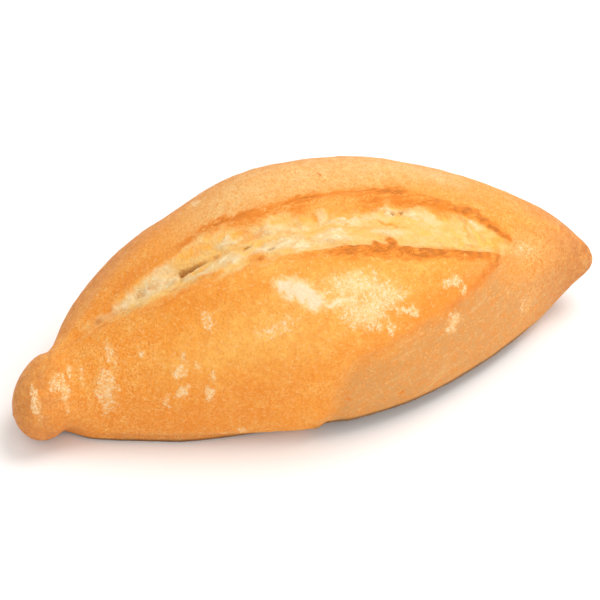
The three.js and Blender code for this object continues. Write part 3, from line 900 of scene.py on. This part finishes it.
class Finish:
    """Adds nodes to one material, each linked to what feeds it."""

    def __init__(self, name):
        self.material = bpy.data.materials.get(name) or bpy.data.materials.new(name)
        self.material.use_nodes = True
        self.tree = self.material.node_tree
        self.tree.nodes.clear()
        self.coordinates = self.tree.nodes.new("ShaderNodeTexCoord").outputs["Object"]

    def feed(self, socket, value):
        """Links a node's output to the socket, or sets the socket to a number or a colour."""
        if isinstance(value, bpy.types.NodeSocket):
            self.tree.links.new(value, socket)
        elif socket.type == "RGBA":
            socket.default_value = (*value, 1)
        else:
            socket.default_value = value

    def mask(self, name):
        """One of the masks on the skin's vertices."""
        node = self.tree.nodes.new("ShaderNodeAttribute")
        node.attribute_name = name
        return node.outputs["Fac"]

    def noise(self, size, detail=2, roughness=0.5, contrast=(0.3, 0.7), stretch=None, turn=(0, 0, 0)):
        """Noise from 0 to 1 with grains of about that size in metres, stretched and turned."""
        place = self.coordinates
        if stretch:
            mapping = self.tree.nodes.new("ShaderNodeMapping")
            mapping.vector_type = "TEXTURE"
            self.feed(mapping.inputs["Vector"], place)
            mapping.inputs["Rotation"].default_value = turn
            mapping.inputs["Scale"].default_value = stretch
            place = mapping.outputs["Vector"]
        node = self.tree.nodes.new("ShaderNodeTexNoise")
        self.feed(node.inputs["Vector"], place)
        node.inputs["Scale"].default_value = 1 / size
        node.inputs["Detail"].default_value = detail
        node.inputs["Roughness"].default_value = roughness
        return self.spread(node.outputs["Fac"], *contrast)

    def pores(self, size):
        """Distance to the nearest pore's middle, from 0 to about 1."""
        node = self.tree.nodes.new("ShaderNodeTexVoronoi")
        self.feed(node.inputs["Vector"], self.coordinates)
        node.inputs["Scale"].default_value = 1 / size
        return node.outputs["Distance"]

    def curls(self, size, width):
        """1 along fine curly lines about that far apart, 0 between them."""
        wave = self.math("SUBTRACT", self.noise(size, 1, 0.5, (0, 1)), 0.5)
        return self.spread(self.math("ABSOLUTE", wave), 0, width, 1, 0)

    def spread(self, value, low, high, start=0, end=1):
        """Turns low to high into start to end, smoothly and clamped."""
        node = self.tree.nodes.new("ShaderNodeMapRange")
        node.interpolation_type = "SMOOTHSTEP"
        self.feed(node.inputs["Value"], value)
        for name, number in (("From Min", low), ("From Max", high), ("To Min", start), ("To Max", end)):
            node.inputs[name].default_value = number
        return node.outputs["Result"]

    def math(self, operation, first, second=0):
        node = self.tree.nodes.new("ShaderNodeMath")
        node.operation = operation
        self.feed(node.inputs[0], first)
        self.feed(node.inputs[1], second)
        return node.outputs[0]

    def times(self, first, second):
        return self.math("MULTIPLY", first, second)

    def mix(self, share, under, over):
        """The colour under, covered by the colour over in that share."""
        node = self.tree.nodes.new("ShaderNodeMix")
        node.data_type = "RGBA"
        self.feed(node.inputs[0], share)
        self.feed(node.inputs[6], under)
        self.feed(node.inputs[7], over)
        return node.outputs[2]

    def bump(self, height, distance, strength=1, under=None):
        """The normals of bumps that many metres high, on top of the bumps under them."""
        node = self.tree.nodes.new("ShaderNodeBump")
        self.feed(node.inputs["Height"], height)
        node.inputs["Distance"].default_value = distance
        node.inputs["Strength"].default_value = strength
        if under:
            self.feed(node.inputs["Normal"], under)
        return node.outputs["Normal"]

    def shade(self, colour, roughness, normal, specular):
        """Ends the material in one Principled shader."""
        shader = self.tree.nodes.new("ShaderNodeBsdfPrincipled")
        output = self.tree.nodes.new("ShaderNodeOutputMaterial")
        self.feed(shader.inputs["Base Color"], colour)
        self.feed(shader.inputs["Roughness"], roughness)
        self.feed(shader.inputs["Normal"], normal)
        shader.inputs["Specular IOR Level"].default_value = specular
        self.tree.links.new(shader.outputs["BSDF"], output.inputs["Surface"])
        return self.material


def baked_crust(finish, colours, mottle, dark_grain):
    """Colour of the crust: gold to amber, paler and browner where the masks say, with fine grains, painted
    highlights on the far crest and the rims, and painted shade at the outline, under the left rim and along
    the base.
    """
    crust = finish.mix(finish.times(finish.noise(24 * MM, 3), 0.4), colours.gold, colours.amber)
    yellowed = finish.noise(6 * MM, 4, 0.65, (0.4, 0.75))
    crust = finish.mix(finish.times(yellowed, 0.7), crust, colours.yellow)
    crust = finish.mix(finish.mask("yellow"), crust, colours.yellow)
    # Painted highlight on the far crest and the rims, with paler crust at the lobe's end
    crust = finish.mix(finish.mask("straw_and_highlight"), crust, colours.straw_and_highlight)
    streak = finish.noise(1.3 * MM, 4, 0.65, (0.36, 0.62), (4, 1, 1))
    streaky = finish.times(streak, finish.mask("straw_and_highlight"))
    crust = finish.mix(finish.times(streaky, 0.35), crust, colours.yellow)
    crust = finish.mix(finish.mask("flank"), crust, colours.tan)
    crust = finish.mix(finish.mask("deep"), crust, colours.amber)
    scuffs = finish.noise(2.2 * MM, 4, 0.7, (0.5, 0.75), (9, 3, 1), (0, math.radians(-17), 0))
    scuffs = finish.times(scuffs, finish.mask("flank"))
    crust = finish.mix(finish.times(scuffs, 0.45), crust, colours.straw_and_highlight)
    crust = finish.mix(finish.times(mottle, 0.42), crust, colours.amber)
    threads = finish.noise(1.1 * MM, 1, 0.5, (0.6, 0.68), (1, 1, 0.6))
    crust = finish.mix(finish.times(threads, 0.35), crust, colours.dust)
    pale_grain = finish.noise(0.75 * MM, 2, 0.6, (0.52, 0.66))
    patches = finish.noise(7 * MM, 3, 0.55, (0.35, 0.65))
    speckled = finish.times(finish.spread(patches, 0, 1, 0.6, 1), finish.mask("speckled"))
    curls = finish.math("MAXIMUM", finish.times(pale_grain, 0.6), finish.curls(1.1 * MM, 0.09))
    curls = finish.times(curls, finish.spread(mottle, 0, 1, 0.35, 1))
    crust = finish.mix(finish.times(curls, speckled), crust, colours.speck)
    dark = finish.times(dark_grain, finish.spread(finish.mask("speckled"), 0, 1, 0.3, 0.9))
    crust = finish.mix(dark, crust, colours.amber)
    grainy = finish.spread(finish.math("MAXIMUM", dark_grain, streak), 0, 1, 0.4, 1.25)
    scorched = finish.times(finish.mask("brown"), grainy)
    crust = finish.mix(finish.spread(scorched, 0, 0.5), crust, colours.amber)
    crust = finish.mix(finish.spread(scorched, 0.3, 1), crust, colours.brown)
    # Russet: browner crust on the point, painted shade on the far flank and the knob's lower part
    tips = finish.times(finish.mask("tips"), finish.spread(mottle, 0, 1, 0.5, 1.5))
    crust = finish.mix(tips, crust, colours.russet_and_shade)
    # Painted shadow: the crust darkens along the base and under the right rim
    return finish.mix(finish.times(finish.mask("under"), 0.9), crust, colours.char)


def torn_crumb(finish, colours, dark_grain):
    """Colour of the crumb: cream fluff among buttery and toasted strands, and pits and a pocket darkened as
    painted shade.
    """
    blotch = finish.noise(4 * MM, 4, 0.6, (0.38, 0.62), (1.8, 1, 1))
    crumb = finish.mix(finish.times(blotch, 0.45), colours.butter, colours.crumb)
    golden = finish.noise(3 * MM, 3, 0.6, (0.5, 0.68), (1.7, 1, 1))
    crumb = finish.mix(golden, crumb, colours.yellow)
    fluff = finish.noise(1.4 * MM, 4, 0.65, (0.4, 0.66), (1.5, 1, 1))
    white = finish.times(finish.mask("white"), finish.spread(fluff, 0, 1, 0.65, 1.1))
    crumb = finish.mix(finish.spread(white, 0, 0.6, 0, 0.9), crumb, colours.crumb)
    crumb = finish.mix(finish.spread(white, 0.6, 1), crumb, colours.cream)
    toasted = finish.times(finish.noise(2.6 * MM, 5, 0.6, (0.5, 0.72)), 0.4)
    crumb = finish.mix(finish.math("MAXIMUM", toasted, finish.mask("toast")), crumb, colours.gold)
    strokes = finish.noise(0.8 * MM, 2, 0.6, (0.5, 0.64), (1, 9, 9), (0, 0, math.radians(16)))
    crumb = finish.mix(finish.times(strokes, finish.mask("combed")), crumb, colours.yellow)
    crumb = finish.mix(finish.times(dark_grain, 0.25), crumb, colours.gold)
    # Painted shade in the pits and the pocket
    return finish.mix(finish.mask("pit_shade"), crumb, colours.hollow_shade)


def thick_flour(finish, colours, surface):
    """Lays the thick flour on: clumps and grains in a haze."""
    flour = finish.mask("flour")
    grain = finish.noise(0.9 * MM, 3, 0.7)
    clumps = finish.noise(2.6 * MM, 3, 0.6)
    cover = finish.math("ADD", finish.times(clumps, 0.35), flour)
    grains = finish.spread(finish.math("ADD", finish.times(grain, 0.6), cover), 0.85, 1.2)
    haze = finish.spread(cover, 0.25, 1.15, 0, 0.85)
    dusted = finish.times(finish.math("MAXIMUM", grains, haze), finish.spread(flour, 0.04, 0.3))
    dust = finish.mix(finish.spread(cover, 0.75, 1.15), colours.dust, colours.flour)
    return finish.mix(dusted, surface, dust)


def loose_flour(finish, colours, surface):
    """Lays the loose flour on: fine curls of grains over a faint dust."""
    cluster = finish.mask("grains")
    loose = finish.math("ADD", finish.noise(1.6 * MM, 2, 0.6), cluster)
    loose = finish.times(finish.curls(1 * MM, 0.2), finish.spread(loose, 0.5, 1.15, 0, 0.88))
    loose = finish.times(loose, finish.spread(cluster, 0.03, 0.3))
    surface = finish.mix(finish.spread(cluster, 0.1, 1, 0, 0.55), surface, colours.dust)
    dust = finish.mix(finish.spread(loose, 0.4, 0.9), colours.dust, colours.flour)
    return finish.mix(loose, surface, dust)


def roll_finish(colours):
    """Baked crust, torn crumb and flour, each where its mask on the skin says."""
    finish = Finish("baked_roll")
    normal = finish.bump(finish.noise(0.8 * MM, 4, 0.7), 0.2 * MM)
    normal = finish.bump(finish.pores(1.5 * MM), 0.2 * MM, 0.4, normal)
    mottle = finish.noise(2.4 * MM, 4, 0.65, (0.32, 0.68))
    dark_grain = finish.noise(0.8 * MM, 2, 0.6, (0.5, 0.66), (0.8, 0.9, 1))
    crust = baked_crust(finish, colours, mottle, dark_grain)
    surface = finish.mix(finish.mask("crumb"), crust, torn_crumb(finish, colours, dark_grain))
    surface = thick_flour(finish, colours, surface)
    surface = loose_flour(finish, colours, surface)
    return finish.shade(surface, finish.spread(mottle, 0, 1, 0.5, 0.7), normal, 0.25)


def floor_finish():
    """A pale, faintly cloudy table."""
    finish = Finish("pale_floor")
    cloud = finish.noise(0.3, 2)
    colour = finish.mix(cloud, (0.85, 0.825, 0.8), (0.88, 0.855, 0.83))
    return finish.shade(colour, 0.9, finish.bump(cloud, 0.01 * MM), 0.5)


class ROLL_OT_bake(bpy.types.Operator):
    """Bake the roll's skin, from the knob to the point, with its slash torn open"""

    bl_idname = "roll.bake"
    bl_label = "Bake the roll"

    def execute(self, context):
        shape = context.scene.roll_shape
        bm = bmesh.new()
        bmesh.ops.create_uvsphere(bm, u_segments=COLUMNS, v_segments=RINGS, radius=1)
        piece = place_piece("baked_roll", bm)
        mesh = piece.data
        ball = np.empty(3 * len(mesh.vertices))
        mesh.vertices.foreach_get("co", ball)
        ball = ball.reshape(-1, 3)
        # The ball's poles become the roll's two tips, and its rings the stations between them
        ring = np.arccos(np.clip(ball[:, 2], -1, 1))
        x = HALF_LENGTH * lerp(-np.cos(ring), 2 * ring / math.pi - 1, RING_EVENNESS)
        turn = np.arctan2(ball[:, 1], ball[:, 0]) / (2 * math.pi)
        column = np.round((1 - turn) % 1 * COLUMNS)
        skin = Skin(shape, x, column_angle(shape, x, column))
        places = skin_at(skin)
        fit_box(places)
        mesh.vertices.foreach_set("co", places.ravel())
        for name, mask in bake_masks(skin, places).items():
            layer = mesh.attributes.new(name, "FLOAT", "POINT")
            layer.data.foreach_set("value", np.asarray(mask, dtype=np.float32))
        mesh.polygons.foreach_set("use_smooth", [True] * len(mesh.polygons))
        mesh.update()
        mesh.materials.append(roll_finish(context.scene.bake_colours))
        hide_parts("roll")
        return {"FINISHED"}


class ROLL_OT_stage(bpy.types.Operator):
    """Set up the pale floor, the soft studio light and the camera"""

    bl_idname = "roll.stage"
    bl_label = "Set up the studio"

    def execute(self, context):
        studio = context.scene.studio_setup
        bm = bmesh.new()
        bmesh.ops.create_circle(bm, cap_ends=True, segments=96, radius=FLOOR_RADIUS)
        mesh = bpy.data.meshes.new("floor")
        bm.to_mesh(mesh)
        bm.free()
        mesh.materials.append(floor_finish())
        floor = bpy.data.objects.new("floor", mesh)
        context.scene.collection.objects.link(floor)
        self.light(context, "key", studio.key, KEY_PLACE, KEY_WIDTH)
        self.light(context, "fill", studio.fill, FILL_PLACE, FILL_WIDTH)
        world = bpy.data.worlds.new("room")
        world.use_nodes = True
        sky = world.node_tree.nodes["Background"]
        sky.inputs["Color"].default_value = (1, 1, 1, 1)
        sky.inputs["Strength"].default_value = studio.sky
        context.scene.world = world
        context.scene.view_settings.view_transform = "Standard"
        data = bpy.data.cameras.new("camera")
        data.lens = studio.lens
        camera = bpy.data.objects.new("camera", data)
        turn, lift = studio.azimuth, studio.elevation
        out = Vector((math.sin(turn), -math.cos(turn), math.tan(lift))).normalized()
        camera.location = Vector(studio.target) + studio.distance * out
        camera.rotation_euler = out.to_track_quat("Z", "Y").to_euler()
        context.scene.collection.objects.link(camera)
        context.scene.camera = camera
        return {"FINISHED"}

    def light(self, context, name, power, place, width):
        """A square soft light that faces the roll."""
        data = bpy.data.lights.new(name, "AREA")
        data.energy = power
        data.size = width
        lamp = bpy.data.objects.new(name, data)
        lamp.location = place
        lamp.rotation_euler = Vector(place).to_track_quat("Z", "Y").to_euler()
        context.scene.collection.objects.link(lamp)


class ROLL_PT_sidebar(bpy.types.Panel):
    """Lists the roll's pieces and their settings"""

    bl_idname = "ROLL_PT_sidebar"
    bl_label = "Rustic roll"
    bl_space_type = "VIEW_3D"
    bl_region_type = "UI"
    bl_category = "Roll"

    def draw(self, context):
        for operator in OPERATORS:
            self.layout.operator(operator.bl_idname)
        for settings in (context.scene.roll_shape, context.scene.bake_colours, context.scene.studio_setup):
            for name in settings.__annotations__:
                self.layout.prop(settings, name)


OPERATORS = (ROLL_OT_bake, ROLL_OT_stage)
GROUPS = {"roll_shape": RollShape, "bake_colours": BakeColours, "studio_setup": StudioSetup}


def register():
    for group in GROUPS.values():
        bpy.utils.register_class(group)
    for name, group in GROUPS.items():
        setattr(bpy.types.Scene, name, PointerProperty(type=group))
    for shown in (*OPERATORS, ROLL_PT_sidebar):
        bpy.utils.register_class(shown)


def unregister():
    for shown in (ROLL_PT_sidebar, *reversed(OPERATORS)):
        bpy.utils.unregister_class(shown)
    for name, group in GROUPS.items():
        delattr(bpy.types.Scene, name)
        bpy.utils.unregister_class(group)


def main():
    register()
    bpy.ops.roll.bake()
    bpy.ops.roll.stage()


if __name__ == "__main__":
    main()
